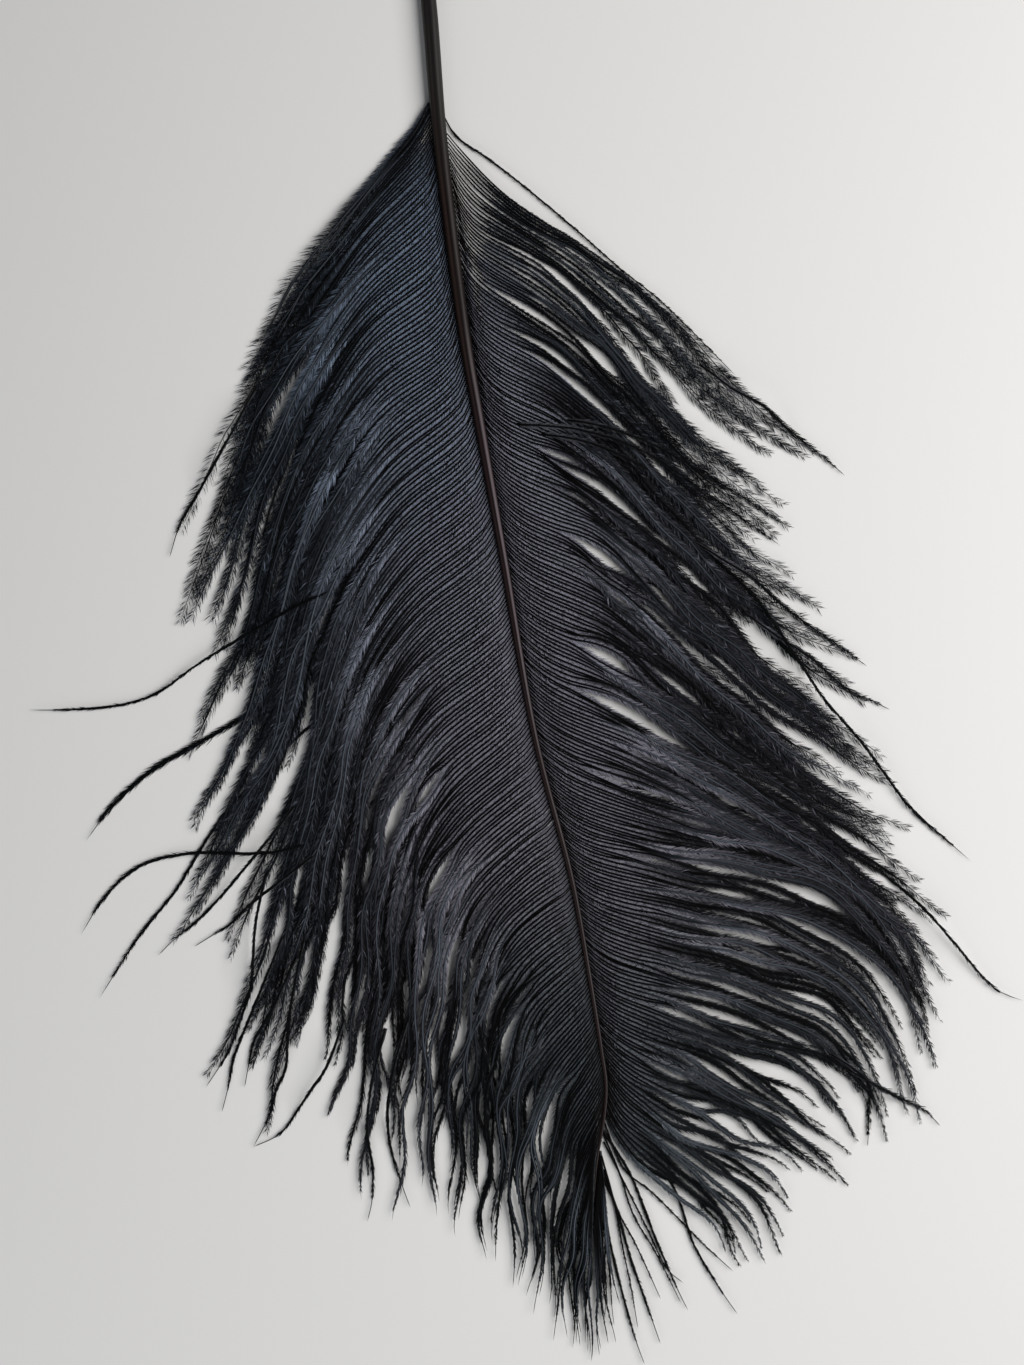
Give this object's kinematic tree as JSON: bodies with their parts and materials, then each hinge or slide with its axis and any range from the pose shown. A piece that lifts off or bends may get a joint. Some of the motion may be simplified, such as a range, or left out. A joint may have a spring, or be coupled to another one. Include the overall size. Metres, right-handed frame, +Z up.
{
  "type": "ostrich feather",
  "caption": "Black dyed ostrich plume lying flat: a curved tapering shaft with a bare quill, a soft vane of loose barbs on each side and a few barbs lying clear of them.",
  "frame": {"origin": "centre of the bounding box in plan, on the surface that the feather lies on", "axes": "+Y along the feather towards the end of the quill, +X to the right seen from above with the quill at the top, +Z up"},
  "size_m": [0.219, 0.328, 0.0034],
  "materials": {
    "shaft": "dyed horn-like keratin, satin, black-brown with a paler ridge",
    "barbs": "dyed feather barbs and barbules, matt blue-black with a soft sheen",
    "loose_barbs": "single dyed barbs with their down pressed against them, matt black"
  },
  "bodies": {
    "root": {"shaft": "shaft", "left_vane": "barbs", "right_vane": "barbs", "loose_barb_left_1": "loose_barbs", "loose_barb_left_2": "loose_barbs", "loose_barb_left_3": "loose_barbs", "loose_barb_left_4": "loose_barbs", "loose_barb_right_1": "loose_barbs", "loose_barb_right_2": "loose_barbs", "loose_barb_tip_1": "loose_barbs", "loose_barb_tip_2": "loose_barbs", "loose_barb_tip_3": "loose_barbs", "loose_barb_tip_4": "loose_barbs"}
  },
  "joints": []
}
